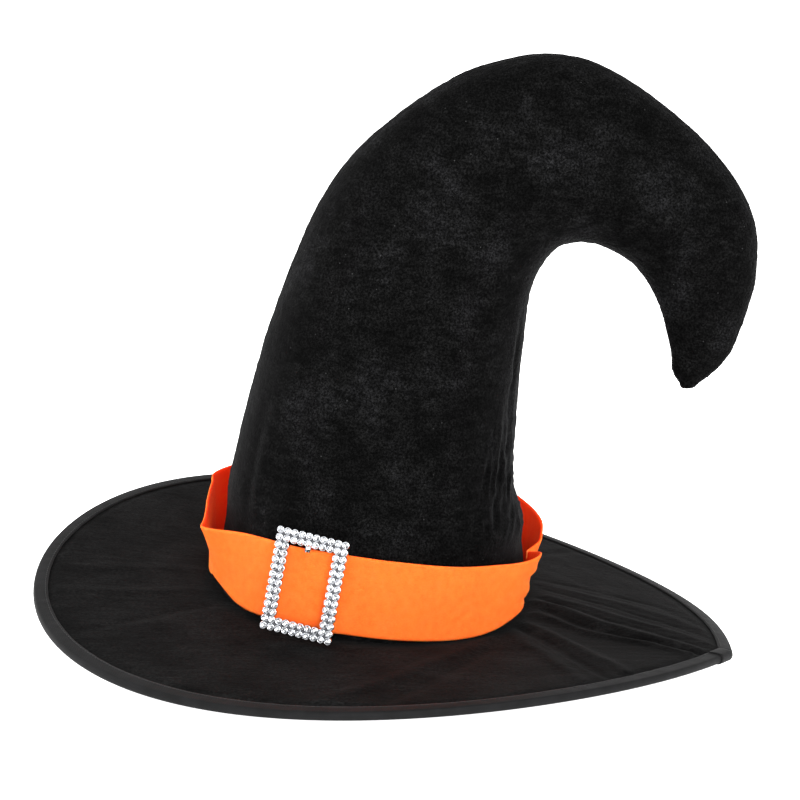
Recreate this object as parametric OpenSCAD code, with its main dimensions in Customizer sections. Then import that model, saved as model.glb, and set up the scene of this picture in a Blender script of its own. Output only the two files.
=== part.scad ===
// Witch hat with a hooked crown, a wide bound brim, a felt band and a stone-set slide buckle.
// Millimetres. The origin is the centre of the head opening at the sweatband's lower edge.
// +Z is up, +X is the side the peak hooks towards, and -Y is the front, where the buckle sits.

/* [Head opening] */
// Radius of the head opening inside the sweatband
head_r = 90; // [80:1:108]
// Height of the sweatband
sweatband_h = 30; // [20:1:36]
// Thickness of the sweatband ribbon
sweatband_t = 1; // [0.6:0.1:1.4]

/* [Crown] */
// Height of the bend's highest point above the head opening
crown_h = 352; // [280:1:430]
// Distance the peak reaches out from the middle of the head
hook_reach = 221; // [180:1:270]
// Thickness of the velour pile fabric
velour_t = 1; // [0.6:0.1:1.4]
// Thickness of the foam that backs the crown
foam_t = 2; // [1:0.1:3]
// Width of the seam allowance turned inside the crown
allowance_w = 8; // [5:1:12]
// Largest nod of the peak each way, in degrees
nod = 10; // [5:1:12]

/* [Brim] */
// Radius of the brim away from its corner
brim_r = 212; // [180:1:254]
// How far the corner stands out past the round of the brim
corner_out = 25; // [10:1:35]
// Direction of the corner seen from above, in degrees
corner_az = -17; // [-45:1:0]
// Height of the wave in the brim's edge, up and down
brim_wave = 12.5; // [4:0.5:16]
// Direction of one of the two low places of the edge, in degrees
low_az = 40; // [30:1:60]
// Thickness of each of the brim's two covers
cover_t = 0.8; // [0.5:0.1:1.2]
// Thickness of the stiffener between the covers
stiffener_t = 1.6; // [1:0.1:2.4]
// Diameter of the hoop in the edge
hoop_d = 1.3; // [0.8:0.1:1.5]
// Width of the binding on each face of the brim
binding_w = 9; // [7:0.5:12]
// Thickness of the binding tape
binding_t = 0.7; // [0.5:0.1:1]

/* [Band] */
// Width of the felt band
band_h = 50; // [40:1:60]
// Thickness of the felt
band_t = 1.8; // [1:0.1:2.5]
// Height of the band's lower edge above the head opening
band_z = 6; // [6:1:12]

/* [Buckle] */
// Spacing of the stones
stone_pitch = 4.6; // [4:0.1:5.5]
// Number of stones along the top of the buckle
stones_across = 10; // [8:1:12]
// Thickness of the buckle's frame
frame_t = 2.4; // [1.6:0.1:3]
// Direction that the buckle faces, in degrees from the front
buckle_az = -16; // [-35:1:0]
// Distance of the buckle's middle from the place where its plane touches the band
buckle_shift = -11; // [-14:1:0]
// Lean of the buckle, top towards the hook side, in degrees
buckle_lean = 6; // [0:1:8]
// Width of the bar behind the band
bar_w = 3; // [2:0.1:4]

/* [Hidden] */

velour = "#17171a";
suede = "#1f1d1c";
felt = "#ff6a20";

// Clearances between pieces that lie against each other
ply_gap = 0.2;
ribbon_gap = 2.4;
panel_gap = 0.2;

// Radii of the crown's layers at its foot, from the head outwards
sweatband_r = head_r + sweatband_t;
foam_in_r = sweatband_r + ribbon_gap;
foot_r = foam_in_r + foam_t + ply_gap + velour_t;

// ---- shared shapes ----

function mix(a, b, t) = a + (b - a) * t;
function backwards(v) = [for (i = [len(v) - 1 : -1 : 0]) v[i]];

// A solid through rings of equal length. Each ring runs out along one face and back along the
// other, so that point j lies across the wall from the last point but j. The two faces are split
// along matching diagonals, which keeps the wall even and lets plies lie on each other.
module loft(rings, closed = false) {
    n = len(rings);
    k = len(rings[0]);
    sides = [for (i = [0 : closed ? n - 1 : n - 2], j = [0 : k - 1])
        let (a = i * k, b = ((i + 1) % n) * k, m = (j + 1) % k)
        each j < k / 2
            ? [[a + j, a + m, b + m], [a + j, b + m, b + j]]
            : [[a + j, a + m, b + j], [a + m, b + m, b + j]]];
    ends = closed ? [] : [for (j = [0 : k / 2 - 2], e = [0, 1])
        let (a = e * (n - 1) * k, q = [a + j, a + k - 1 - j, a + k - 2 - j, a + j + 1])
        each (e == 0
            ? [[q[0], q[1], q[2]], [q[0], q[2], q[3]]]
            : [[q[2], q[1], q[0]], [q[3], q[2], q[0]]])];
    polyhedron(points = [for (r = rings) each r], faces = concat(sides, ends), convexity = 8);
}

// ---- crown ----

// The foot of the crown is a true round up to the top of the band, and the seams take over there.
foot_z = cover_t + stiffener_t / 2 + 2 * ply_gap + 0.9;
straight_z = band_z + band_h + 1;

// Each row is the outer seam's x and z, the inner seam's x and z, and half the depth front to back.
// The rows are drawn for a foot radius of 96.6, a height of 352 and a reach of 221.
drawn_foot_r = 96.6;
drawn_straight_z = 57;
drawn_h = 352;
drawn_reach = 221;
drawn_rows = [
    [-92, 92, 84, 92, 86],
    [-77, 173, 82, 160, 68],
    [-51, 252, 84, 210, 54],
    [-13, 305, 94, 233, 46],
    [38, 342, 108, 240, 41],
    [100, 352, 125, 239, 37],
    [165, 321, 141, 232, 33],
    [209, 276, 154, 219, 28],
    [221, 233, 165, 200, 21],
    [213, 187, 174, 175, 13],
    [190, 155, 183, 156, 4]
];

function across(x) = x < drawn_foot_r
    ? x * foot_r / drawn_foot_r
    : mix(foot_r, hook_reach, (x - drawn_foot_r) / (drawn_reach - drawn_foot_r));
function up(z) = mix(straight_z, crown_h, (z - drawn_straight_z) / (drawn_h - drawn_straight_z));
function round_row(z) = [-foot_r, z, foot_r, z, foot_r];

rows = concat(
    [round_row(straight_z)],
    [for (r = drawn_rows) [across(r[0]), up(r[1]), across(r[2]), up(r[3]), r[4] * foot_r / drawn_foot_r]]
);
tip_s = len(rows) - 1;

// Smooth curve through the rows. Below zero it is the straight foot, down to foot_z at -1.
function row(i) = i < 0 ? 2 * rows[0] - round_row(mix(straight_z, up(92), 1))
    : i > tip_s ? 2 * rows[tip_s] - rows[tip_s - 1] : rows[i];
function curve(p0, p1, p2, p3, u) = (2 * p1 + (p2 - p0) * u + (2 * p0 - 5 * p1 + 4 * p2 - p3) * u * u
    + (3 * p1 - 3 * p2 + p3 - p0) * u * u * u) / 2;
function station(s) = s < 0
    ? round_row(mix(straight_z, foot_z, -s))
    : let (i = min(floor(s), tip_s - 1)) curve(row(i - 1), row(i), row(i + 1), row(i + 2), s - i);

// A point of the wall's back half: q is 0 at the outer seam and 180 at the inner one, and inset is
// the depth below the pile. The front half is its mirror image.
function outer_seam(s) = let (r = station(s)) [r[0], 0, r[1]];
function inner_seam(s) = let (r = station(s)) [r[2], 0, r[3]];
function wall_point(s, q, inset) = let (
        o = outer_seam(s), i = inner_seam(s), half = norm(o - i) / 2, u = (o - i) / norm(o - i)
    ) (o + i) / 2 + u * max(half - inset, 0.2) * cos(q)
    + [0, max(station(s)[4] - inset, 0.2) * sin(q) + panel_gap / 2, 0];

// The peak nods about a line across the middle of the bend. Both sides of the cut fall away from
// that line, by half the nod and a little more, so that neither edge meets the other.
bend_s = 6;
cut_half_angle = nod / 2 + 1;
cut_gap = 0.8;
function speed(q) = norm(wall_point(bend_s + 0.05, q, 0) - wall_point(bend_s - 0.05, q, 0)) / 0.1;
function cut_depth(q) = let (arm = abs(cos(q)) * norm(outer_seam(bend_s) - inner_seam(bend_s)) / 2)
    (arm * tan(cut_half_angle) + cut_gap / 2) / speed(q);

// Every layer has its rings at the same places: up from the straight foot to the cut, or on from the
// cut to the tip.
arc_steps = 16;
crown_steps = 16;
peak_steps = 12;
function ring_s(below, i, q) = below
    ? (bend_s - cut_depth(q)) * i / crown_steps
    : mix(bend_s + cut_depth(q), tip_s, i / peak_steps);

// The back half of a crown layer between two depths, either below the bend or beyond it
module back_layer(below, out_inset, in_inset, short = 0) {
    last = (below ? crown_steps : peak_steps) - short;
    function ring(i, inset) = [for (j = [0 : arc_steps])
        let (q = 180 * j / arc_steps) wall_point(i < 0 ? -1 : ring_s(below, i, q), q, inset)];
    loft([for (i = [below ? -1 : 0 : last]) concat(ring(i, out_inset), backwards(ring(i, in_inset)))]);
}
module front_layer(below, out_inset, in_inset, short = 0) {
    mirror([0, 1, 0]) back_layer(below, out_inset, in_inset, short);
}
foam_out = velour_t + ply_gap;
foam_in = foam_out + foam_t;
foam_short = 1;

// A flat strip inside a seam, standing in the plane between the front and back halves
strip_t = 2 * velour_t;
strip_gap = 0.5;
strip_short = 4;
module seam_strip(q, below) {
    deep = foam_in + strip_gap;
    corners = [[deep, 1], [deep + allowance_w, 1], [deep + allowance_w, -1], [deep, -1]];
    loft([for (i = below ? [1 : crown_steps] : [0 : peak_steps - strip_short])
        let (
            s = ring_s(below, i, q),
            loop = [for (c = corners) let (p = wall_point(s, q, c[0])) [p[0], c[1] * strip_t / 2, p[2]]]
        ) q == 0 ? loop : backwards(loop)]);
}

module crown_front_panel() { color(velour) front_layer(true, 0, velour_t); }
module crown_back_panel() { color(velour) back_layer(true, 0, velour_t); }
module crown_front_foam() { color("#3a3a3c") front_layer(true, foam_out, foam_in); }
module crown_back_foam() { color("#3a3a3c") back_layer(true, foam_out, foam_in); }
module crown_outer_allowance() { color("#2a2a2c") seam_strip(0, true); }
module crown_inner_allowance() { color("#2a2a2c") seam_strip(180, true); }
module peak_front_panel() { color(velour) front_layer(false, 0, velour_t); }
module peak_back_panel() { color(velour) back_layer(false, 0, velour_t); }
module peak_front_foam() { color("#3a3a3c") front_layer(false, foam_out, foam_in, foam_short); }
module peak_back_foam() { color("#3a3a3c") back_layer(false, foam_out, foam_in, foam_short); }
module peak_seam_allowance() { color("#2a2a2c") { seam_strip(0, false); seam_strip(180, false); } }

// ---- head opening ----

module pipe(r_in, r_out, z0, z1) {
    translate([0, 0, z0]) difference() {
        cylinder(h = z1 - z0, r = r_out, $fn = 96);
        translate([0, 0, -1]) cylinder(h = z1 - z0 + 2, r = r_in, $fn = 96);
    }
}
join_t = 0.6;
join_arc = 14;
allowance_t = 0.7;
module sweatband() { color("#101014") pipe(head_r, sweatband_r, 0, sweatband_h); }
// The ribbon's ends lap at the back of the head
module sweatband_join() {
    color("#101014") translate([0, 0, foot_z + 1]) rotate([0, 0, 90 - join_arc / 2])
        rotate_extrude(angle = join_arc, $fn = 96)
            translate([sweatband_r + ply_gap, 0]) square([join_t, sweatband_h - foot_z - 2]);
}
// The crown's and the brim's edges are turned up together behind the sweatband
module foot_seam_allowance() {
    r = sweatband_r + join_t + 2 * ply_gap;
    color("#2a2a2c") pipe(r, r + allowance_t, foot_z + 0.2, foot_z + allowance_w);
}

// ---- brim ----

brim_in_r = sweatband_r + ribbon_gap;
corner_spread = 24.5;
edge_steps = 72;
function turn(a) = a > 180 ? turn(a - 360) : a < -180 ? turn(a + 360) : a;
function edge_r(az) = brim_r + corner_out * exp(-abs(turn(az - corner_az)) / corner_spread);
function brim_mid(r, az) = -brim_wave * cos(2 * (az - low_az)) * (r - brim_in_r) / (edge_r(az) - brim_in_r);
function brim_point(r, az, dz) = [r * cos(az), r * sin(az), brim_mid(r, az) + dz];
function edge_az(i) = corner_az + 360 * i / edge_steps;

half_stiffener = stiffener_t / 2;
cover_z = half_stiffener + ply_gap;
face_z = cover_z + cover_t;
cover_margin = binding_t + 3 * ply_gap;
stiffener_margin = binding_w;
radial_steps = 3;
// The plies share their places across the brim, and the covers run on past the stiffener to the edge
function ply_radii(az, covers) = [
    for (j = [0 : radial_steps]) mix(brim_in_r, edge_r(az) - stiffener_margin, j / radial_steps),
    if (covers) edge_r(az) - cover_margin
];
module brim_ply(covers, z_low, z_high) {
    loft([for (i = [0 : edge_steps - 1])
        let (az = edge_az(i), radii = ply_radii(az, covers))
        concat([for (r = radii) brim_point(r, az, z_low)], [for (r = backwards(radii)) brim_point(r, az, z_high)])
    ], closed = true);
}
module brim_top_cover() { color(suede) brim_ply(true, cover_z, face_z); }
module brim_stiffener() { color("#4a4744") brim_ply(false, -half_stiffener, half_stiffener); }
module brim_under_cover() { color("#141416") brim_ply(true, -face_z, -cover_z); }

// The hoop runs in the edge, in the slot between the covers and outside the stiffener
hoop_in = (stiffener_margin + cover_margin) / 2;
module brim_hoop() {
    color("#d8d8d0") loft([for (i = [0 : edge_steps - 1]) let (az = edge_az(i), r = edge_r(az) - hoop_in)
        [for (j = [0 : 7]) brim_point(r + hoop_d / 2 * cos(45 * j), az, hoop_d / 2 * sin(45 * j))]
    ], closed = true);
}

// The binding is a tape folded over the edge. Its section is a channel that opens inwards.
binding_z = face_z + ply_gap;
binding_gap = 1;
function binding_ring(az, w, lift) = let (
        r = edge_r(az), zi = binding_z + lift, zo = binding_z + lift + binding_t, ri = r - binding_t + lift
    ) [
        brim_point(r - w, az, -zo), brim_point(r + lift - 0.4, az, -zo), brim_point(r + lift, az, 0),
        brim_point(r + lift - 0.4, az, zo), brim_point(r - w, az, zo),
        brim_point(r - w, az, zi), brim_point(ri - 0.2, az, zi), brim_point(ri, az, 0),
        brim_point(ri - 0.2, az, -zi), brim_point(r - w, az, -zi)
    ];
module edge_binding() {
    span = 360 - 2 * binding_gap;
    color("#2c2c2e") loft([for (i = [0 : edge_steps])
        binding_ring(corner_az + binding_gap + span * i / edge_steps, binding_w, 0)]);
}
// One end of the tape laps over the other beside the corner
module binding_lap() {
    lap_lift = binding_t + ply_gap;
    color("#2c2c2e") loft([for (i = [0 : 3])
        binding_ring(corner_az - binding_gap - 4 + i, binding_w - 1, lap_lift)]);
}

// ---- felt band ----

// The band hugs the front of the crown, folds sharply at the far side, stands off behind, and is
// sewn down at the hook side between two short loops. Each pair is a direction and the stand-off.
buckle_off = 4;
band_route = [
    [-155, 18], [-147, 9], [-134, buckle_off], [-78, buckle_off], [-62, 2.4], [-48, 6], [-36, 14], [-28, 20],
    [-22, 16], [-15, 2], [-8, 9], [5, 13], [25, 16], [45, 21], [80, 23], [110, 23], [140, 20], [165, 14],
    [185, 11], [205, 18]
];
function ease(t) = t * t * (3 - 2 * t);
function stand_off(az, i = 0) = az <= band_route[i + 1][0] || i == len(band_route) - 2
    ? mix(band_route[i][1], band_route[i + 1][1],
        ease((az - band_route[i][0]) / (band_route[i + 1][0] - band_route[i][0])))
    : stand_off(az, i + 1);
function band_point(az, depth) = let (r = foot_r + stand_off(az) + depth) [r * cos(az), r * sin(az)];
band_step = 5;
module felt_arc(az0, az1, depth) {
    n = round((az1 - az0) / band_step);
    azs = [for (i = [0 : n]) mix(az0, az1, i / n)];
    translate([0, 0, band_z]) linear_extrude(height = band_h) polygon(concat(
        [for (a = azs) band_point(a, depth)],
        [for (a = backwards(azs)) band_point(a, depth + band_t)]
    ));
}
module hat_band() {
    azs = [for (i = [0 : 360 / band_step - 1]) band_route[0][0] + band_step * i];
    color(felt) translate([0, 0, band_z]) linear_extrude(height = band_h) difference() {
        polygon([for (a = azs) band_point(a, band_t)]);
        polygon([for (a = azs) band_point(a, 0)]);
    }
}
// The end of the strip laps over its start behind the head
module hat_band_lap() { color(felt) felt_arc(80, 100, band_t + 2 * ply_gap); }

tack_az = -15;
tack_d = 1;
tack_l = 6;
tack_gap = 0.5;
module band_tacks() {
    color("#e85a18") for (i = [-1 : 1])
        rotate([0, 0, tack_az])
            translate([foot_r + stand_off(tack_az) + band_t + tack_gap + tack_d / 2, 0, band_z + band_h / 2 - tack_l / 2 + 14 * i])
                cylinder(h = tack_l, d = tack_d, $fn = 16);
}

// ---- buckle ----

buckle_w = stones_across * stone_pitch;
// The window between the rails is about as tall as the band is wide
stones_up = round(band_h / stone_pitch) + 3;
buckle_h = stones_up * stone_pitch;
rail_w = 2 * stone_pitch;
frame_gap = 0.6;
frame_back = foot_r + buckle_off + band_t + frame_gap;
bar_t = 1;
bar_back = foot_r + 0.6;
leg_t = 1;
leg_gap = 0.5;
bar_rise = 5;
// The lowest corner of the leaning frame stands just clear of the brim
buckle_z = face_z + 0.4 + (buckle_h * cos(buckle_lean) + buckle_w * sin(buckle_lean)) / 2;
// In the buckle's own frame: x to the right, z up, and y the distance behind the frame's back
module at_buckle() {
    rotate([0, 0, buckle_az]) translate([buckle_shift, -frame_back, buckle_z])
        rotate([0, buckle_lean, 0]) children();
}
module block(x, y0, y1, z0, z1) { translate([-x / 2, y0, z0]) cube([x, y1 - y0, z1 - z0]); }
module buckle_frame() {
    color("#c9ccd1") at_buckle() difference() {
        block(buckle_w, -frame_t, 0, -buckle_h / 2, buckle_h / 2);
        block(buckle_w - 2 * rail_w, -frame_t - 1, 1, rail_w - buckle_h / 2, buckle_h / 2 - rail_w);
    }
}
// The bar lies behind the felt, and its ends turn forwards past the felt's edges to the frame
module buckle_bar() {
    depth = frame_back - bar_back;
    low = band_z - leg_gap - buckle_z;
    high = band_z + band_h + leg_gap - buckle_z + bar_rise;
    color("#b4b7bc") at_buckle() difference() {
        block(bar_w, 0, depth, low - leg_t, high + leg_t);
        block(bar_w + 2, -1, depth - bar_t, low, high);
    }
}
stone_h = 1.7;
module stone() {
    rotate([90, 0, 0]) cylinder(h = stone_h, d1 = stone_pitch * 0.94, d2 = stone_pitch * 0.5, $fn = 24);
}
// A closed row of stones, "ring" places in from the frame's edge
module stone_row(ring) {
    last_x = stones_across - 1 - ring;
    last_z = stones_up - 1 - ring;
    color("#eef2f6") at_buckle() for (i = [ring : last_x], j = [ring : last_z])
        if (i == ring || i == last_x || j == ring || j == last_z)
            translate([(i + 0.5) * stone_pitch - buckle_w / 2, -frame_t, (j + 0.5) * stone_pitch - buckle_h / 2])
                stone();
}
module stones_outer_row() { stone_row(0); }
module stones_inner_row() { stone_row(1); }

sweatband();
sweatband_join();
foot_seam_allowance();
brim_top_cover();
brim_stiffener();
brim_under_cover();
brim_hoop();
edge_binding();
binding_lap();
crown_front_panel();
crown_back_panel();
crown_front_foam();
crown_back_foam();
crown_outer_allowance();
crown_inner_allowance();
peak_front_panel();
peak_back_panel();
peak_front_foam();
peak_back_foam();
peak_seam_allowance();
hat_band();
hat_band_lap();
band_tacks();
buckle_frame();
buckle_bar();
stones_outer_row();
stones_inner_row();
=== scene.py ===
"""A witch hat with a hooked velour crown, a bound brim, a felt band and a stone-set buckle.

Lengths are in millimetres until a mesh is made. +Z is up, +X is the side the peak hooks towards,
and -Y is the front. The sections follow the order in which the hat is made up.
"""

import math

import bpy
import numpy as np
from mathutils import Matrix, Vector, noise


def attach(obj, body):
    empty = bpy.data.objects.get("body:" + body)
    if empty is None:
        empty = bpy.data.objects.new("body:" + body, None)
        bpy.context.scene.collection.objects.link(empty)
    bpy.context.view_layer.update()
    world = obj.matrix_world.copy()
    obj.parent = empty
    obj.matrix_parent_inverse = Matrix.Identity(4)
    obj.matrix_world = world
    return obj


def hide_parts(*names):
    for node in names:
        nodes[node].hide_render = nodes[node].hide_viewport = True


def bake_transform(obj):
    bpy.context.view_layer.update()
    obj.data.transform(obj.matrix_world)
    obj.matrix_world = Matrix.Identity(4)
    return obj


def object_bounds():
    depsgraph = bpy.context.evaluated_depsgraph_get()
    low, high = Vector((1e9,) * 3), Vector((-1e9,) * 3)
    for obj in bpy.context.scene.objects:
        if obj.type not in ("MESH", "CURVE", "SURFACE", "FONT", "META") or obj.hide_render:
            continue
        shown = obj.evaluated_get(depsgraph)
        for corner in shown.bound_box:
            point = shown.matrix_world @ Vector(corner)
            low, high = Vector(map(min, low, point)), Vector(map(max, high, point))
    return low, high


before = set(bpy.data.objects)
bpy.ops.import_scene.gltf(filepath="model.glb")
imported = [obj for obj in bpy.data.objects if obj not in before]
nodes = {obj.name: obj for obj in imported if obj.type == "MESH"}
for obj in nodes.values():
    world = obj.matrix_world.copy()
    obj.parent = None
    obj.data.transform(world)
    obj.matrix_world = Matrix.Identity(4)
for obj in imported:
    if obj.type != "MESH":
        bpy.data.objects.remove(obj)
cad_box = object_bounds()

MM = 0.001


# ---- camera ----
# A long lens at head height looks a little down on the front of the hat, which is worn tilted, so
# the camera is rolled by the same tilt.

CAMERA_LIFT = 15.2  # degrees above level
CAMERA_ROLL = 5.2
CAMERA_DISTANCE = 1500
CAMERA_AIM = Vector((8.4, 0, 129))
VIEW_WIDTH = 504  # width of the view at the aim

lift = math.radians(CAMERA_LIFT)
camera_data = bpy.data.cameras.new("camera")
camera_data.sensor_width = 36
camera_data.lens = camera_data.sensor_width * CAMERA_DISTANCE / VIEW_WIDTH
camera = bpy.data.objects.new("camera", camera_data)
bpy.context.scene.collection.objects.link(camera)
backwards = Vector((0, -math.cos(lift), math.sin(lift)))
camera.matrix_world = (
    Matrix.Translation((CAMERA_AIM + backwards * CAMERA_DISTANCE) * MM)
    @ backwards.to_track_quat("Z", "Y").to_matrix().to_4x4()
    @ Matrix.Rotation(math.radians(CAMERA_ROLL), 4, "Z")
)
bpy.context.scene.camera = camera


# ---- crown ----
# Two mirrored panels of black crushed velour are sewn along the outer and the inner curve, turned
# and pushed out, so the pile runs in one skin from the brim to the tip. The seams pull in a little,
# and the cloth puckers where the round foot narrows on the hook side.


def linear(code):
    """An sRGB hex colour as linear light, with full opacity."""
    parts = [int(code[i : i + 2], 16) / 255 for i in (1, 3, 5)]
    return (*(c / 12.92 if c <= 0.04045 else ((c + 0.055) / 1.055) ** 2.4 for c in parts), 1)


def add(tree, kind, values=None, links=None, every=None, stops=(), **settings):
    """A node with its settings, the values of its sockets and the links into them, where a node
    stands for its first output. A pattern's features come about every so many millimetres, in the
    hat's own frame. Stops are a colour ramp's places and hex colours."""
    node = tree.nodes.new("ShaderNode" + kind)
    for name, value in settings.items():
        setattr(node, name, value)
    for name, value in (values or {}).items():
        node.inputs[name].default_value = value
    links = dict(links or {})
    if every:
        spot = add(tree, "TexCoord").outputs["Object"]
        scale = 1 / (np.broadcast_to(every, 3) * MM)
        node.inputs["Scale"].default_value = 1
        links["Vector"] = add(tree, "Mapping", {"Scale": scale}, {"Vector": spot})
    for name, source in links.items():
        if isinstance(source, bpy.types.Node):
            source = source.outputs[0]
        tree.links.new(source, node.inputs[name])
    if stops:
        elements = node.color_ramp.elements
        while len(elements) < len(stops):
            elements.new(0.5)
        for element, (position, code) in zip(elements, stops):
            element.position = position
            element.color = linear(code)
    return node


def new_material(name):
    material = bpy.data.materials.new(name)
    material.use_nodes = True
    material.node_tree.nodes.clear()
    return material, material.node_tree


def surface(tree, values, links):
    """The one shader that a material ends in, and its output."""
    shader = add(tree, "BsdfPrincipled", values, links)
    add(tree, "OutputMaterial", links={"Surface": shader})


# Two colours multiplied. A colour mix has its amount at socket 0, its colours at 6 and 7, and its
# result at output 2.
MULTIPLIED = {"data_type": "RGBA", "blend_type": "MULTIPLY"}


def velour(name, dark, mid, light):
    """Crushed polyester velour: a short pile whose nap lies in patches, brushed mostly sideways, so
    it reads as mottled near-black with a fine sparkle and a soft sheen along its edges. The tufts
    are drawn twice as coarse as the real 0.6 mm, so that they show."""
    material, tree = new_material(name)
    patches = add(tree, "TexNoise", {"Detail": 4.0, "Roughness": 0.6}, every=(30, 30, 38))
    strokes = add(tree, "TexNoise", {"Detail": 3.0, "Roughness": 0.6}, every=(12, 12, 4.5))
    pile = add(tree, "TexNoise", {"Detail": 3.0, "Roughness": 0.75}, every=1.25)
    specks = add(tree, "TexVoronoi", every=9)
    nap = [(0.38, dark), (0.52, mid), (0.68, light)]
    nap = add(tree, "ValToRGB", links={"Fac": patches}, stops=nap)
    stroke_shade = [(0.36, "#a0a0a0"), (0.66, "#ffffff")]
    stroke_shade = add(tree, "ValToRGB", links={"Fac": strokes}, stops=stroke_shade)
    pile_shade = [(0.38, "#3a3a3a"), (0.50, "#9a9a9a"), (0.64, "#ffffff")]
    pile_shade = add(tree, "ValToRGB", links={"Fac": pile}, stops=pile_shade)
    lint = add(tree, "ValToRGB", links={"Fac": specks}, stops=[(0.02, "#303030"), (0.05, "#000000")])
    colour = add(tree, "Mix", {0: 1.0}, {6: nap, 7: stroke_shade}, **MULTIPLIED).outputs[2]
    colour = add(tree, "Mix", {0: 1.0}, {6: colour, 7: pile_shade}, **MULTIPLIED).outputs[2]
    linty = {"data_type": "RGBA", "blend_type": "ADD"}
    colour = add(tree, "Mix", {0: 1.0}, {6: colour, 7: lint}, **linty).outputs[2]
    brushed = add(tree, "Bump", {"Distance": 0.8 * MM}, {"Height": strokes})
    normal = add(tree, "Bump", {"Distance": 0.5 * MM}, {"Height": pile, "Normal": brushed})
    surface(
        tree,
        {
            "Roughness": 0.8,
            "Specular IOR Level": 0.02,
            "Sheen Weight": 0.03,
            "Sheen Roughness": 0.3,
            "Sheen Tint": linear("#d8d8dc"),
        },
        {"Base Color": colour, "Normal": normal},
    )
    return material


FOOT_R = 96.6
SEWN_Z = 2.1  # height of the crown's sewn edge, on the brim
STRAIGHT_Z = 57  # top of the round foot, hidden by the band
# Each row is the outer seam's x and z, the inner seam's x and z, and half the depth front to back
CROWN_ROWS = np.array(
    [
        (-96.6, 57, 96.6, 57, 96.6),
        (-92, 92, 84, 92, 86),
        (-77, 173, 82, 160, 68),
        (-51, 252, 84, 210, 54),
        (-13, 305, 94, 233, 46),
        (38, 342, 108, 240, 41),
        (100, 352, 125, 239, 37),
        (165, 321, 141, 232, 33),
        (209, 276, 154, 219, 28),
        (221, 233, 165, 200, 21),
        (214, 188, 174, 176, 14),
        (206, 171, 176, 164, 10),
        (193, 157, 182, 156, 6),
    ],
    float,
)
TIP = len(CROWN_ROWS) - 1


def round_row(z):
    return np.array([-FOOT_R, z, FOOT_R, z, FOOT_R], float)


def curve_through(a, b, c, d, u):
    """The place at share u of the smooth curve from b to c, which a and d bend."""
    return (2 * b + (c - a) * u + (2 * a - 5 * b + 4 * c - d) * u**2 + (3 * b - 3 * c + d - a) * u**3) / 2


def crown_stations(s, foot_z):
    """The rows at places s along the crown: -1 to 0 is the straight foot, and TIP is the tip."""
    whole = np.vstack(
        [2 * CROWN_ROWS[0] - round_row(92), CROWN_ROWS, 2 * CROWN_ROWS[-1] - CROWN_ROWS[-2]]
    )
    found = []
    for t in s:
        if t < 0:
            found.append(round_row(STRAIGHT_Z + (STRAIGHT_Z - foot_z) * t))
            continue
        i = min(int(t), TIP - 1)
        found.append(curve_through(*whole[i : i + 4], t - i))
    return np.array(found)


def crown_wall(s, turn, inset, foot_z):
    """Points of the crown's wall. The turn runs from the outer seam past the front to the inner seam."""
    rows = crown_stations(s, foot_z)
    outer = np.stack([rows[:, 0], 0 * s, rows[:, 1]], 1)
    inner = np.stack([rows[:, 2], 0 * s, rows[:, 3]], 1)
    half = np.linalg.norm(outer - inner, axis=1)[:, None] / 2
    along = (outer - inner) / (2 * half)
    middle = (outer + inner) / 2
    cos, sin = np.cos(turn)[None, :, None], np.sin(turn)[None, :, None]
    wall = middle[:, None, :] + along[:, None, :] * np.maximum(half - inset, 0.3)[:, :, None] * cos
    depth = np.maximum(rows[:, 4] - inset, 0.3)
    return wall + np.array([0, -1, 0]) * depth[:, None, None] * sin


def cloud(points, size, seed=0):
    """Smooth noise from about -1 to 1, with features of the given size in millimetres."""
    shift = np.array([17.3, 5.1, 9.7]) * seed
    flat = points.reshape(-1, 3) / size + shift
    return np.array([noise.noise(Vector(p)) for p in flat]).reshape(points.shape[:-1])


def ease(low, high, x):
    t = np.clip((x - low) / (high - low), 0, 1)
    return t * t * (3 - 2 * t)


def hump(distance, width):
    return np.exp(-((distance / width) ** 2))


def outward(grid, closed=True):
    """Unit normals of a grid of points, whose second index runs round the piece."""
    down = np.gradient(grid, axis=0)
    if closed:
        across = (np.roll(grid, -1, 1) - np.roll(grid, 1, 1)) / 2
    else:
        across = np.gradient(grid, axis=1)
    normal = np.cross(across, down)
    return normal / np.maximum(np.linalg.norm(normal, axis=2, keepdims=True), 1e-9)


# Long creases on the front of the crown. Each is a list of (x, z) places, a height and a half width.
CROWN_CREASES = [
    ([(83, 78), (79, 106), (78, 140), (79, 196)], -1.6, 1.3),
    ([(76, 64), (75, 84), (75, 112), (76, 150)], -1.2, 1.5),
    ([(63, 62), (64, 84), (67, 108), (69, 132)], -0.9, 1.8),
    ([(-81, 58), (-80, 76), (-77, 100), (-73, 125)], -1.0, 3.2),
    ([(-74, 58), (-74, 80), (-71, 104), (-66, 132)], 0.8, 4.0),
]


def ridged(points, seed):
    """Thin irregular ridges, from 0 to 1."""
    return np.clip(1 - 3.2 * np.abs(cloud(points, 1.0, seed)), 0, 1)


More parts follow.
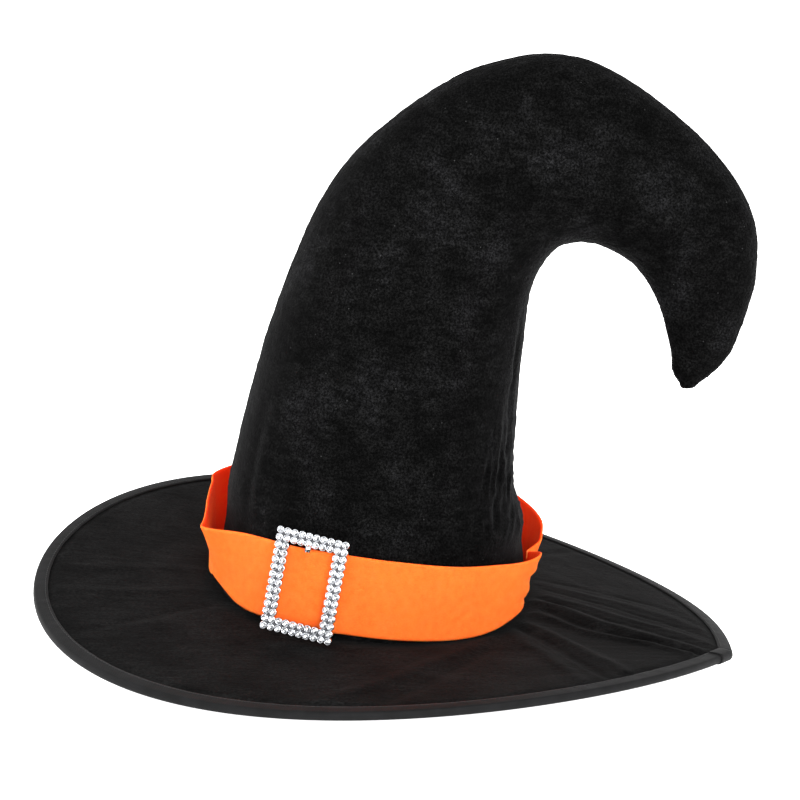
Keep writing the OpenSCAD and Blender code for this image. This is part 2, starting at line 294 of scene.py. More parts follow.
def crown_relief(grid):
    """How far the cloth stands out from the plain form, in millimetres."""
    x, y, z = grid[..., 0], grid[..., 1], grid[..., 2]
    puckers = 0.6 + 0.5 * cloud(grid, 7, 3)
    seam = -0.9 * hump(y, 1.6) + 0.55 * hump(np.abs(y) - 4.5, 2.2) * puckers
    relief = seam + 1.5 * cloud(grid, 75, 1) + 0.6 * cloud(grid, 27, 2)
    waver = 1.2 * cloud(np.stack([0 * x, 0 * y, z / 9], -1), 1.0, 4)
    for path, height, width in CROWN_CREASES:
        px, pz = np.array(path, float).T
        line = np.interp(z, pz, px) + waver
        length = ease(pz[0] - 4, pz[0] + 12, z) * (1 - ease(pz[-1] - 30, pz[-1] + 12, z))
        relief = relief + height * hump(x - line, width) * length * (y < 0)
    # Where the round foot narrows to the flat crown, the cloth gathers in short upright wrinkles
    gathered = ease(50, 64, x) * ease(48, 62, z) * (1 - ease(96, 150, z)) * (y < 0)
    wrinkles = ridged(np.stack([x / 4.6, y / 30, z / 24], -1), 9)
    fine_wrinkles = ridged(np.stack([x / 2.6, y / 20, z / 13], -1), 10)
    relief = relief + gathered * (0.9 * wrinkles + 0.6 * fine_wrinkles)
    relief = relief * (0.1 + 0.9 * ease(52, 66, z))
    # The band draws the foot in, most of all on the hook side
    drawn_in = ease(28, 48, z) * (1 - ease(62, 112, z)) * (x < 130)
    return relief - drawn_in * np.where(x > 0, 3.0, 1.4) * np.minimum(1, np.abs(x) / 60)


def build(name, points, faces, material):
    """A mesh object from points in millimetres."""
    mesh = bpy.data.meshes.new(name)
    mesh.from_pydata((np.asarray(points) * MM).tolist(), [], [tuple(map(int, f)) for f in faces])
    mesh.validate()
    mesh.shade_smooth()
    mesh.materials.append(material)
    piece = bpy.data.objects.new(name, mesh)
    bpy.context.scene.collection.objects.link(piece)
    return piece


def net(rows, columns, first=0, round_columns=True, round_rows=False, flip=False):
    """Four-sided faces over a grid of points that starts at the given index."""
    i = np.arange(rows if round_rows else rows - 1)
    j = np.arange(columns if round_columns else columns - 1)
    a, b = np.meshgrid(i, j, indexing="ij")
    a2, b2 = (a + 1) % rows, (b + 1) % columns
    quads = np.stack([a * columns + b, a * columns + b2, a2 * columns + b2, a2 * columns + b], -1)
    quads = quads.reshape(-1, 4) + first
    return quads[:, ::-1] if flip else quads


def hood(name, outside, inside, material):
    """A closed skin with an open foot and a pointed end. The inside may be a coarser grid."""
    n, m = outside.shape[:2]
    n2, m2 = inside.shape[:2]
    step = m // m2
    start = n * m
    poles = [outside[-1].mean(0), inside[-1].mean(0)]
    points = np.vstack([outside.reshape(-1, 3), inside.reshape(-1, 3), poles])
    faces = [*net(n, m, flip=True), *net(n2, m2, start)]
    for j in range(m):
        faces.append(((n - 1) * m + j, (n - 1) * m + (j + 1) % m, len(points) - 2)[::-1])
        faces.append((start + j // step, j, (j + 1) % m))
    for j in range(m2):
        last = start + (n2 - 1) * m2
        faces.append((last + j, last + (j + 1) % m2, len(points) - 1))
        faces.append((start + j, (j + 1) * step % m, start + (j + 1) % m2))
    return build(name, points, faces, material)


def tip_dome(grid, height, steps=4):
    """More rings that round off the end of a hood."""
    middle = grid[-1].mean(0)
    onwards = middle - grid[-3].mean(0)
    onwards /= np.linalg.norm(onwards)
    rings = []
    for k in range(1, steps + 1):
        angle = math.pi / 2 * k / (steps + 0.4)
        rings.append(middle + (grid[-1] - middle) * math.cos(angle) + onwards * height * math.sin(angle))
    return np.concatenate([grid, np.array(rings)])


def crown_grid(around, foot_steps, steps, inset, foot_z, end=TIP):
    s = np.concatenate([np.linspace(-1, 0, foot_steps, endpoint=False), np.linspace(0, end, steps)])
    return crown_wall(s, np.linspace(0, 2 * math.pi, around, endpoint=False), inset, foot_z)


VELOUR_T = 1.0
CROWN_AROUND = 336
PILE_STEP = 4  # outer grid steps to one inner one
fine = crown_grid(CROWN_AROUND, 26, 350, 0, SEWN_Z)
fine = fine + outward(fine) * crown_relief(fine)[..., None]
pile_grain = 0.26 * cloud(fine, 2.3, 5) + 0.16 * cloud(fine, 1.1, 6)
fine = fine + outward(fine) * (pile_grain * ease(40, 62, fine[..., 2]))[..., None]
backing = crown_grid(CROWN_AROUND // PILE_STEP, 8, 90, VELOUR_T, SEWN_Z)
backing = backing + outward(backing) * (crown_relief(backing) - 0.15)[..., None]
crushed = velour("crushed_velour", "#0e0e0e", "#151515", "#202021")
crown = hood("crown_velour_skin", tip_dome(fine, 3.0), tip_dome(backing, 1.6), crushed)
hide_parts("crown_front_panel", "crown_back_panel", "peak_front_panel", "peak_back_panel")
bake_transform(crown)


# ---- foam lining and turned-in seams ----
# The velour is flame-laminated to 2 mm polyether foam, which keeps the hook standing. Inside, the
# seam allowances stand up raw along both curves, and show when the hat is turned over.


def foam(name):
    """Open-cell polyether foam: matt, grey, with pinholes under a millimetre wide, darkened in the
    colour as painted shade.
    """
    material, tree = new_material(name)
    cells = add(tree, "TexVoronoi", every=1.1)
    cloudy = add(tree, "TexNoise", every=20)
    tone = add(tree, "ValToRGB", links={"Fac": cloudy}, stops=[(0.3, "#18181a"), (0.7, "#242427")])
    # Dark dots at the pinholes are painted shade
    painted_pinhole_shade = add(tree, "ValToRGB", links={"Fac": cells}, stops=[(0.08, "#6a6a6a"), (0.42, "#ffffff")])
    colour = add(tree, "Mix", {0: 1.0}, {6: tone, 7: painted_pinhole_shade}, **MULTIPLIED).outputs[2]
    normal = add(tree, "Bump", {"Distance": 0.4 * MM}, {"Height": cells})
    values = {"Roughness": 0.95, "Specular IOR Level": 0.2}
    surface(tree, values, {"Base Color": colour, "Normal": normal})
    return material


FOAM_OUT = 1.35
FOAM_IN = 3.2
FOAM_FOOT_Z = 2.9
FOAM_END = 10.6
foam_out = crown_grid(120, 8, 120, FOAM_OUT, FOAM_FOOT_Z, FOAM_END)
foam_in = crown_grid(120, 8, 120, FOAM_IN, FOAM_FOOT_Z, FOAM_END)
foam_out = foam_out + outward(foam_out) * (crown_relief(foam_out) - 0.25)[..., None]
foam_in = foam_in + outward(foam_in) * (0.8 * crown_relief(foam_in) + 0.15 * cloud(foam_in, 5, 8))[..., None]
lining = hood("crown_foam_lining", foam_out, foam_in, foam("polyether_foam"))
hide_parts("crown_front_foam", "crown_back_foam", "peak_front_foam", "peak_back_foam")
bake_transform(lining)


def dress(name, material):
    """Give a CAD node that stays in view its material."""
    nodes[name].data.materials.clear()
    nodes[name].data.materials.append(material)


seam_cloth = velour("turned_in_velour", "#101011", "#1d1d1e", "#303032")
for name in ("crown_outer_allowance", "crown_inner_allowance", "peak_seam_allowance", "foot_seam_allowance"):
    dress(name, seam_cloth)


# ---- brim plies ----
# The brim is a sandwich: needled felt stiffener between a suede-brushed top cloth and a plain
# lining, with a nylon hoop in the edge that throws it into a gentle saddle. The top cloth is cut a
# little full, so it creases from the crown towards the corner.

BRIM_R = 212
BRIM_IN_R = 93.4
CORNER_OUT = 25
CORNER_AZ = -17
CORNER_SPREAD = 24.5
BRIM_WAVE = 12.5
LOW_AZ = 40
SPRING_AZ = 200  # where the hoop pushes the edge out a little
SPRING_OUT = 2.2
SPRING_SPREAD = 34
COVER_Z = 1.0
FACE_Z = 1.8
COVER_MARGIN = 1.3


def brim_edge(az):
    """The brim's radius at directions in degrees."""
    turn = (az - CORNER_AZ + 180) % 360 - 180
    spring = SPRING_OUT * hump((az - SPRING_AZ + 180) % 360 - 180, SPRING_SPREAD)
    return BRIM_R + CORNER_OUT * np.exp(-np.abs(turn) / CORNER_SPREAD) + spring


def brim_mid(r, az):
    """Height of the brim's middle layer: two high and two low places round the edge."""
    reach = (r - BRIM_IN_R) / (brim_edge(az) - BRIM_IN_R)
    return -BRIM_WAVE * np.cos(np.radians(2 * (az - LOW_AZ))) * reach


def polar(r, az, z):
    return np.stack([r * np.cos(np.radians(az)), r * np.sin(np.radians(az)), z], -1)


# Folds of the top cloth, seen from above. Each is a list of (x, y) places from the crown outwards,
# a height, and a half width. A negative height is a valley.
BRIM_FOLDS = [
    ([(112, -14), (122, -24), (146, -47), (170, -61), (199, -80), (211, -84)], -2.6, 2.2),
    ([(104, 2), (123, -10), (147, -34), (177, -55), (206, -76)], 2.6, 5.0),
    ([(106, -22), (120, -34), (144, -58), (170, -70), (200, -86)], 2.0, 4.0),
    ([(110, 10), (147, -18), (180, -42), (210, -68)], -0.8, 2.2),
    ([(116, 16), (150, -6), (185, -32), (214, -58)], 0.9, 3.6),
    ([(114, 30), (152, 12), (188, -14), (216, -46)], -0.6, 2.2),
    ([(112, 42), (152, 27), (190, 4), (217, -32)], 0.7, 4.0),
    ([(110, 52), (150, 44), (190, 20), (214, -14)], -0.5, 3.0),
    ([(92, -44), (107, -73), (127, -112), (146, -152)], -1.7, 2.8),
    ([(97, -36), (115, -66), (137, -103), (157, -140)], 1.8, 5.0),
    ([(86, -52), (98, -82), (115, -122), (130, -162)], 1.2, 5.0),
    ([(78, -64), (70, -92), (50, -120), (20, -160), (-20, -196)], 1.5, 7.0),
    ([(84, -60), (78, -94), (62, -128), (36, -172), (14, -200)], -1.0, 5.0),
    ([(-100, -30), (-130, -34), (-165, -37), (-200, -40)], 0.8, 5.0),
    ([(-104, 4), (-140, 2), (-200, -6)], 0.7, 6.0),
    ([(-90, -52), (-125, -70), (-170, -96)], -0.6, 4.0),
    ([(-60, 96), (-84, 140), (-104, 176)], 0.9, 6.0),
    ([(20, 108), (28, 150), (32, 206)], 0.8, 6.0),
    ([(80, 88), (112, 118), (146, 148)], -0.8, 5.0),
]


def polyline_distance(x, y, path):
    """How far points are from a line of places, and the share of its length where each is nearest."""
    best = np.full(x.shape, 1e9)
    along = np.zeros(x.shape)
    total = sum(math.dist(a, b) for a, b in zip(path, path[1:]))
    run = 0.0
    for (ax, ay), (bx, by) in zip(path, path[1:]):
        length = math.hypot(bx - ax, by - ay)
        t = np.clip(((x - ax) * (bx - ax) + (y - ay) * (by - ay)) / length**2, 0, 1)
        d = np.hypot(x - ax - t * (bx - ax), y - ay - t * (by - ay))
        nearer = d < best
        best = np.where(nearer, d, best)
        along = np.where(nearer, (run + t * length) / total, along)
        run += length
    return best, along


def brim_relief(r, az, flat):
    """How far the top cloth stands off the stiffener. It is held down at the crown and the binding."""
    x, y = flat[..., 0], flat[..., 1]
    waver = 2.2 * cloud(flat, 22, 21)
    relief = 0.9 + 0.5 * cloud(flat, 48, 22)
    for path, height, width in BRIM_FOLDS:
        d, along = polyline_distance(x + waver, y + waver, path)
        body = 0.65 + 0.35 * np.sin(np.pi * np.clip(along, 0, 1))
        relief = relief + height * hump(d, width) * body
    # Fine wrinkles lie along the cloth's own grain, and draw together towards the corner
    corner_x, corner_y, _ = polar(235, CORNER_AZ, 0)
    gather = np.arctan2(y - corner_y, corner_x + 60 - x) * 130
    fanned = gather * ease(0, 90, x) + y * (1 - ease(0, 90, x))
    lines = np.stack([x / 9, np.where(x > 0, fanned, y), 0 * x], -1)
    relief = relief + (0.10 + 0.10 * ease(60, 150, x)) * cloud(lines, 5.5, 23)
    relief = relief + 0.16 * cloud(flat, 1.9, 24)
    held = ease(98, 112, r) * (1 - ease(-16, -9.5, r - brim_edge(az)))
    return np.clip(relief, -0.15, 6) * held


def wall(name, face, back, material, round_rows=False, round_columns=True):
    """A closed sheet between two grids of the same size."""
    n, m = face.shape[:2]
    points = np.vstack([face.reshape(-1, 3), back.reshape(-1, 3)])
    other = n * m
    faces = [
        *net(n, m, 0, round_columns, round_rows),
        *net(n, m, other, round_columns, round_rows, flip=True),
    ]
    if not round_rows:
        for j in range(m if round_columns else m - 1):
            k = (j + 1) % m
            faces.append((j, other + j, other + k, k))
            j2, k2 = j + (n - 1) * m, k + (n - 1) * m
            faces.append((k2, other + k2, other + j2, j2))
    if not round_columns:
        for i in range(n if round_rows else n - 1):
            a, b = i * m, ((i + 1) % n) * m
            faces.append((a, b, other + b, other + a))
            a2, b2 = a + m - 1, b + m - 1
            faces.append((b2, a2, other + a2, other + b2))
    return build(name, points, faces, material)


def suede(name):
    """Suede-brushed polyester: a very short, even nap in a soft black, with faint streaks along the
    cloth's length where the brush has run."""
    material, tree = new_material(name)
    streaks = add(tree, "TexNoise", {"Detail": 3.0, "Roughness": 0.6}, every=(16, 3.5, 16))
    patches = add(tree, "TexNoise", every=(38, 30, 38))
    nap = add(tree, "TexNoise", {"Detail": 3.0, "Roughness": 0.7}, every=(1.8, 1.1, 1.1))
    tone = add(tree, "ValToRGB", links={"Fac": patches}, stops=[(0.35, "#101010"), (0.65, "#1c1c1c")])
    streak_shade = [(0.32, "#b8b8b8"), (0.70, "#ffffff")]
    streak_shade = add(tree, "ValToRGB", links={"Fac": streaks}, stops=streak_shade)
    nap_shade = add(tree, "ValToRGB", links={"Fac": nap}, stops=[(0.36, "#585858"), (0.66, "#ffffff")])
    colour = add(tree, "Mix", {0: 1.0}, {6: tone, 7: streak_shade}, **MULTIPLIED).outputs[2]
    colour = add(tree, "Mix", {0: 1.0}, {6: colour, 7: nap_shade}, **MULTIPLIED).outputs[2]
    brushed = add(tree, "Bump", {"Distance": 0.25 * MM}, {"Height": streaks})
    normal = add(tree, "Bump", {"Distance": 0.3 * MM}, {"Height": nap, "Normal": brushed})
    surface(
        tree,
        {
            "Roughness": 0.8,
            "Specular IOR Level": 0.02,
            "Sheen Weight": 0.012,
            "Sheen Roughness": 0.4,
            "Sheen Tint": linear("#d8d8d8"),
        },
        {"Base Color": colour, "Normal": normal},
    )
    return material


WAVES = 3.2  # waves in one unit of a wave texture


def woven(name, pitch, light, dark):
    """Plain weave, dull: threads cross over and under, at the given spacing."""
    material, tree = new_material(name)
    spacing = (pitch * WAVES, pitch * WAVES, 1e3)
    ups = add(tree, "TexWave", {"Distortion": 0.6}, every=spacing, bands_direction="X")
    overs = add(tree, "TexWave", {"Distortion": 0.6}, every=spacing, bands_direction="Y")
    crossed = {0: ups.outputs["Fac"], 1: overs.outputs["Fac"]}
    threads = add(tree, "Math", links=crossed, operation="ADD")
    fuzz = add(tree, "TexNoise", {"Detail": 4.0, "Roughness": 0.6}, every=9)
    tone = add(tree, "ValToRGB", links={"Fac": fuzz}, stops=[(0.3, dark), (0.7, light)])
    normal = add(tree, "Bump", {"Distance": 0.12 * MM}, {"Height": threads})
    surface(
        tree,
        {"Roughness": 0.8, "Specular IOR Level": 0.3, "Sheen Weight": 0.1, "Sheen Roughness": 0.4},
        {"Base Color": tone, "Normal": normal},
    )
    return material


def ring_grid(around, across):
    """Radii and directions all over the ring that a brim cloth covers."""
    az = np.repeat((CORNER_AZ + np.arange(around) * 360 / around)[:, None], across, 1)
    share = np.linspace(0, 1, across)[None, :]
    return BRIM_IN_R + share * (brim_edge(az) - COVER_MARGIN - BRIM_IN_R), az


brim_r, brim_az = ring_grid(760, 78)
brim_z = brim_mid(brim_r, brim_az)
relief = brim_relief(brim_r, brim_az, polar(brim_r, brim_az, 0 * brim_r))
top_cover = wall(
    "brim_top_cloth",
    polar(brim_r, brim_az, brim_z + FACE_Z + relief),
    polar(brim_r, brim_az, brim_z + COVER_Z + 0.9 * relief),
    suede("brushed_suede_cloth"),
    round_rows=True,
    round_columns=False,
)
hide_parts("brim_top_cover")
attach(top_cover, "hat")

lining_r, lining_az = ring_grid(480, 40)
lining_z = brim_mid(lining_r, lining_az)
flat = polar(lining_r, lining_az, 0 * lining_r)
slack = 0.35 + 0.35 * cloud(flat, 30, 31) + 0.25 * cloud(flat * np.array([1, 0.3, 1]), 9, 32)
slack = np.clip(slack * ease(98, 112, lining_r), -0.1, 2)
slack = slack * (1 - ease(-16, -9.5, lining_r - brim_edge(lining_az)))
under_cover = wall(
    "brim_under_lining",
    polar(lining_r, lining_az, lining_z - COVER_Z - 0.8 * slack),
    polar(lining_r, lining_az, lining_z - FACE_Z - slack),
    woven("plain_lining", 0.55, "#111113", "#0a0a0b"),
    round_rows=True,
    round_columns=False,
)
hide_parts("brim_under_cover")
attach(under_cover, "hat")


def needled(name, light, dark):
    """Needled felt: short fibres lie every way, pricked at a few millimetres' spacing."""
    material, tree = new_material(name)
    fibres = add(tree, "TexNoise", {"Detail": 4.0, "Roughness": 0.65}, every=(2.2, 0.5, 0.5))
    pricks = add(tree, "TexVoronoi", every=3)
    tone = add(tree, "ValToRGB", links={"Fac": fibres}, stops=[(0.3, dark), (0.7, light)])
    pricked = add(tree, "Bump", {"Distance": 0.3 * MM}, {"Height": pricks})
    normal = add(tree, "Bump", {"Distance": 0.3 * MM}, {"Height": fibres, "Normal": pricked})
    values = {"Roughness": 0.95, "Specular IOR Level": 0.15}
    surface(tree, values, {"Base Color": tone, "Normal": normal})
    return material


def nylon(name):
    """Drawn nylon: a smooth, milky, slightly shiny monofilament."""
    material, tree = new_material(name)
    mottle = add(tree, "TexNoise", every=30)
    tone = add(tree, "ValToRGB", links={"Fac": mottle}, stops=[(0.3, "#cfcfc6"), (0.7, "#dedfd8")])
    surface(tree, {"Roughness": 0.35, "IOR": 1.53}, {"Base Color": tone})
    return material


dress("brim_stiffener", needled("needled_stiffener", "#35322f", "#272522"))
dress("brim_hoop", nylon("drawn_nylon"))


# ---- edge binding ----
# A smooth woven bias tape is folded over the brim's edge and sewn through with one line of stitches.
# Its ends meet at the corner, where one end is turned over the other.

BINDING_W = 9.0
BINDING_T = 0.7
BINDING_FACE = 2.7  # half thickness of the bound edge
BEND = 1.4  # from the brim's edge to where the tape starts to turn
BEND_IN = 1.9  # the same on the tape's inner side
SWELL = 0.35  # how much the tape's faces swell
LAP_LIFT = 0.7


def tape_profile(width, lift, thick):
    """The folded tape's section as (distance in from the edge, height), out along the top face and
    back along the bottom one, as an outer and an inner line."""
    outer, inner = [], []
    top = BINDING_FACE + lift
    flats = 7
    bends = 9
    for k in range(flats):
        t = k / flats
        outer.append((width - (width - BEND) * t, top))
        inner.append((width - (width - BEND_IN) * t, top - thick))
    for k in range(bends + 1):
        angle = math.pi / 2 - math.pi * k / bends
        outer.append((BEND - (BEND + lift) * math.cos(angle), top * math.sin(angle)))
        inner.append((BEND_IN - (1.2 + lift) * math.cos(angle), (top - thick) * math.sin(angle)))
    for k in range(flats - 1, -1, -1):
        t = k / flats
        outer.append((width - (width - BEND) * t, -top))
        inner.append((width - (width - BEND_IN) * t, thick - top))
    return np.array(outer), np.array(inner)


def tape(name, az0, az1, width, lift, thick, material, lively=1.0):
    """A length of binding between two directions in degrees."""
    steps = max(6, int(abs(az1 - az0) * 2.1))
    az = np.linspace(az0, az1, steps + 1)
    edge = brim_edge(az)
    outer, inner = tape_profile(width, lift, thick)
    spots = polar(edge, az, 0 * az)
    puckers = 0.22 * cloud(spots, 5.5, 41) + 0.25 * cloud(spots, 24, 42)
    wander = 0.5 * cloud(spots, 40, 43) + 0.25 * cloud(spots, 9, 44)
    grids = []
    for line in (outer, inner):
        inwards = np.repeat(line[None, :, 0], len(az), 0)
        inwards = inwards + lively * wander[:, None] * (line[None, :, 0] / width) ** 2
        r = edge[:, None] - inwards
        swell = np.sin(np.pi * np.clip(line[:, 0] / width - BEND / width, 0, 1)) * np.sign(line[:, 1])
        z = line[None, :, 1] + lively * puckers[:, None] * swell[None, :] + SWELL * swell[None, :]
        azs = np.repeat(az[:, None], line.shape[0], 1)
        grids.append(polar(r, azs, brim_mid(r, azs) + z))
    return wall(name, grids[0], grids[1], material, round_columns=False)


def bias_tape(name):
    """Smooth polyester bias tape: a fine slanting weave, a little shinier than the brim cloth."""
    material, tree = new_material(name)
    threads = add(tree, "TexWave", {"Distortion": 1.2}, every=2.4, bands_direction="DIAGONAL")
    wear = add(tree, "TexNoise", {"Detail": 4.0, "Roughness": 0.6}, every=12)
    tone = add(tree, "ValToRGB", links={"Fac": wear}, stops=[(0.3, "#0c0c0c"), (0.7, "#141415")])
    worn = add(tree, "Bump", {"Distance": 0.25 * MM}, {"Height": wear})
    raised = {"Height": threads.outputs["Fac"], "Normal": worn}
    normal = add(tree, "Bump", {"Distance": 0.1 * MM}, raised)
    surface(
        tree,
        {"Roughness": 0.6, "Specular IOR Level": 0.06, "Sheen Weight": 0.015, "Sheen Roughness": 0.35},
        {"Base Color": tone, "Normal": normal},
    )
    return material


tape_cloth = bias_tape("bias_tape")
BUTT = 0.2  # half the gap between the tape's ends, in degrees
start, end = CORNER_AZ + BUTT, CORNER_AZ + 360 - BUTT
binding = tape("edge_binding_tape", start, end, BINDING_W, 0, BINDING_T, tape_cloth)
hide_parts("edge_binding")
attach(binding, "hat")
start, end = CORNER_AZ - 4, CORNER_AZ - 0.4
lap = tape("binding_lap_end", start, end, BINDING_W - 0.6, LAP_LIFT, BINDING_T, tape_cloth, 0.5)
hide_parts("binding_lap")
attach(lap, "hat")


def thread_stitches(name, starts, ends, radius, material):
    """Short rounded threads from each start to its end, bowed a little out of the cloth."""
    points, faces = [], []
    sides = 6
    profile = [(0.0, 0.3), (0.18, 0.9), (0.5, 1.0), (0.82, 0.9), (1.0, 0.3)]
    for a, b in zip(starts, ends):
        along = Vector(b) - Vector(a)
        side = along.orthogonal().normalized()
        other = along.cross(side).normalized()
        first = len(points)
        for t, size in profile:
            middle = Vector(a) + along * t
            for k in range(sides):
                angle = 2 * math.pi * k / sides
                points.append(middle + (side * math.cos(angle) + other * math.sin(angle)) * radius * size)
        faces += [*net(len(profile), sides, first)]
        faces.append(tuple(first + k for k in range(sides))[::-1])
        faces.append(tuple(first + (len(profile) - 1) * sides + k for k in range(sides)))
    return build(name, np.array(points), faces, material)


def sewing_thread(name, light, dark):
    """Spun polyester thread: a tight twist, dull, a shade lighter than the cloth it is sewn in."""
    material, tree = new_material(name)
    twist = add(tree, "TexNoise", {"Detail": 1.0}, every=0.4)
    tone = add(tree, "ValToRGB", links={"Fac": twist}, stops=[(0.35, dark), (0.65, light)])
    normal = add(tree, "Bump", {"Distance": 0.1 * MM}, {"Height": twist})
    values = {"Roughness": 0.6, "Specular IOR Level": 0.4}
    surface(tree, values, {"Base Color": tone, "Normal": normal})
    return material


STITCH_PITCH = 3.0
STITCH_L = 2.2
STITCH_IN = 7.4  # from the brim's edge
STITCH_START = 1.2  # degrees from the corner
count = int(2 * math.pi * BRIM_R / STITCH_PITCH)
starts, ends = [], []
for side in (1, -1):
    for k in range(count):
        az0 = CORNER_AZ + STITCH_START + ((360 - 2 * STITCH_START) * k) / count
        az1 = az0 + math.degrees(STITCH_L / BRIM_R)
        for spots, az in ((starts, az0), (ends, az1)):
            r = brim_edge(az) - STITCH_IN
            swell = SWELL * math.sin(math.pi * (STITCH_IN - BEND) / BINDING_W)
            z = brim_mid(r, az) + side * (BINDING_FACE + swell + 0.12)
            spots.append(tuple(polar(r, az, z)))
black_thread = sewing_thread("black_thread", "#1e1e1f", "#101011")
stitches = thread_stitches("binding_stitches", starts, ends, 0.2, black_thread)
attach(stitches, "hat")


# ---- sweatband ----
# A ribbed grosgrain ribbon is sewn round the head opening, and its ends lap at the back. It keeps
# the raw seam off the wearer's forehead.


RIBS = 560  # round the whole opening, 1 mm apart


def grosgrain(name):
    """Grosgrain: heavy ribs run across the ribbon, about 1 mm apart, so round the opening they stand
    upright."""
    material, tree = new_material(name)
    spot = add(tree, "SeparateXYZ", links={"Vector": add(tree, "TexCoord").outputs["Object"]})
    sides = {0: spot.outputs["Y"], 1: spot.outputs["X"]}
    angle = add(tree, "Math", links=sides, operation="ARCTAN2")
    ribs = add(tree, "Math", {1: RIBS}, {0: angle}, operation="MULTIPLY")
    ridge = add(tree, "Math", links={0: ribs}, operation="SINE")
    shade = add(tree, "TexNoise", every=6)
    tone = add(tree, "ValToRGB", links={"Fac": shade}, stops=[(0.3, "#0b0b0d"), (0.7, "#141416")])
    normal = add(tree, "Bump", {"Distance": 0.2 * MM}, {"Height": ridge})
    surface(
        tree,
        {"Roughness": 0.55, "Specular IOR Level": 0.4, "Sheen Weight": 0.1, "Sheen Roughness": 0.3},
        {"Base Color": tone, "Normal": normal},
    )
    return material


RIBBON_R = 90.05
RIBBON_T = 0.85
RIBBON_H = 30
ribbon_z = np.linspace(0, RIBBON_H, 15)
ribbon_az = np.arange(360) * 1.0
ribbon_az_grid, ribbon_z_grid = np.meshgrid(ribbon_az, ribbon_z, indexing="ij")
ribbon_round = polar(ribbon_az_grid * 0 + 90, ribbon_az_grid, ribbon_z_grid)
ripple = 0.25 * np.abs(cloud(ribbon_round, 26, 51)) * ease(6, 30, ribbon_z_grid)
roll = 0.15 * hump(ribbon_z_grid, 1.2)
grosgrain_ribbon = grosgrain("grosgrain")
ribbon = wall(
    "sweatband_ribbon",
    polar(RIBBON_R + ripple + RIBBON_T - roll, ribbon_az_grid, ribbon_z_grid),
    polar(RIBBON_R + ripple + roll, ribbon_az_grid, ribbon_z_grid),
    grosgrain_ribbon,
    round_rows=True,
    round_columns=False,
)
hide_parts("sweatband")
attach(ribbon, "hat")
dress("sweatband_join", grosgrain_ribbon)


# ---- felt band ----
# A strip of orange craft felt 50 mm wide is laid round the crown's foot over the buckle's bar. It
# hugs the front, is creased over at the far side, and is tacked to the crown at the hook side. The
# slack stands off in two loops and lies loose behind, where the ends lap.

FELT_T = 1.8
# Each station is a direction, radius and height of the lower edge, and the same of the upper edge
FELT_STATIONS = np.array(
    [
        (78, 118.2, 5.0, 78, 118.6, 55.0),
        (92, 118.4, 4.6, 92, 118.8, 54.6),
        (108, 118.8, 4.8, 108, 119.6, 54.8),
        (124, 119.6, 4.6, 124, 121.0, 54.6),
        (138, 119.8, 4.4, 138, 121.8, 54.4),
        (148, 118.8, 4.6, 148, 121.2, 54.6),
        (156, 115.6, 4.8, 156, 119.4, 54.6),
        (162, 110.0, 5.0, 162, 114.2, 54.2),
        (170, 106.2, 5.6, 170, 110.2, 53.4),
        (179, 103.8, 6.6, 179, 108.2, 52.4),
        (187, 103.0, 8.4, 188, 108.4, 51.4),
        (193, 103.4, 10.8, 195, 110.6, 50.8),
        (198, 104.4, 13.6, 200.5, 114.0, 50.4),
        (201.5, 105.4, 15.6, 204, 117.2, 50.2),
        (204, 105.0, 14.6, 206.2, 116.4, 50.3),
        (207.5, 102.6, 11.0, 209.5, 111.4, 50.8),
        (211.5, 100.8, 7.6, 214, 105.4, 52.0),
        (216.5, 99.6, 5.2, 219.5, 101.8, 53.4),
        (224, 99.0, 4.6, 226, 100.3, 54.6),
        (234, 100.3, 6.1, 234, 100.5, 55.8),
        (242, 101.3, 6.7, 242, 101.3, 56.5),
        (248, 101.2, 6.9, 248, 101.2, 56.8),
        (254, 100.2, 6.6, 254, 100.2, 57.0),
        (262, 98.6, 6.4, 262, 98.8, 56.6),
        (275, 98.3, 5.6, 275, 98.8, 55.6),
        (288, 98.5, 4.6, 288, 99.0, 53.8),
        (300, 99.0, 3.8, 300, 99.4, 51.4),
        (308, 99.8, 3.6, 309, 100.2, 50.0),
        (315, 101.4, 4.4, 317, 103.0, 49.4),
        (321, 103.6, 6.6, 324, 107.4, 49.0),
        (326, 105.4, 9.6, 330, 111.4, 49.2),
        (330.5, 106.6, 12.6, 335, 112.8, 49.8),
        (334.5, 106.0, 14.0, 338.5, 112.2, 50.0),
        (339, 103.6, 13.6, 341.5, 109.6, 48.8),
        (343, 101.2, 12.4, 345, 104.4, 46.0),
        (347, 99.2, 11.2, 349, 99.6, 43.0),
        (351, 98.4, 10.2, 353, 98.4, 41.4),
        (355, 99.0, 8.4, 356.5, 101.6, 42.6),
        (358, 99.8, 7.8, 359.5, 105.8, 45.6),
        (361, 100.4, 7.2, 362, 106.6, 49.4),
        (365, 101.0, 6.8, 365.5, 107.2, 52.6),
        (371, 102.0, 6.4, 370, 106.6, 54.6),
        (380, 103.6, 6.0, 379, 106.0, 55.4),
        (392, 106.0, 5.6, 392, 107.6, 55.8),
        (403, 109.8, 5.2, 403, 112.0, 55.4),
        (414, 115.2, 5.0, 414, 117.2, 55.0),
        (428, 120.6, 4.8, 428, 121.4, 54.8),
        (444, 120.9, 4.8, 444, 121.3, 54.8),
        (462, 121.2, 4.8, 462, 121.9, 54.8),
    ],
    float,
)


def through(stations, count):
    """Evenly spread places on a smooth curve through the stations."""
    ends = [2 * stations[0] - stations[1], 2 * stations[-1] - stations[-2]]
    whole = np.vstack([ends[0], stations, ends[1]])
    fine_t = np.linspace(0, len(stations) - 1, 40 * len(stations))
    i = np.minimum(fine_t.astype(int), len(stations) - 2)
    u = (fine_t - i)[:, None]
    curve = curve_through(whole[i], whole[i + 1], whole[i + 2], whole[i + 3], u)
    run = np.concatenate([[0], np.cumsum(np.linalg.norm(np.diff(curve, axis=0), axis=1))])
    where = np.linspace(0, run[-1], count)
    return np.stack([np.interp(where, run, curve[:, k]) for k in range(curve.shape[1])], 1)


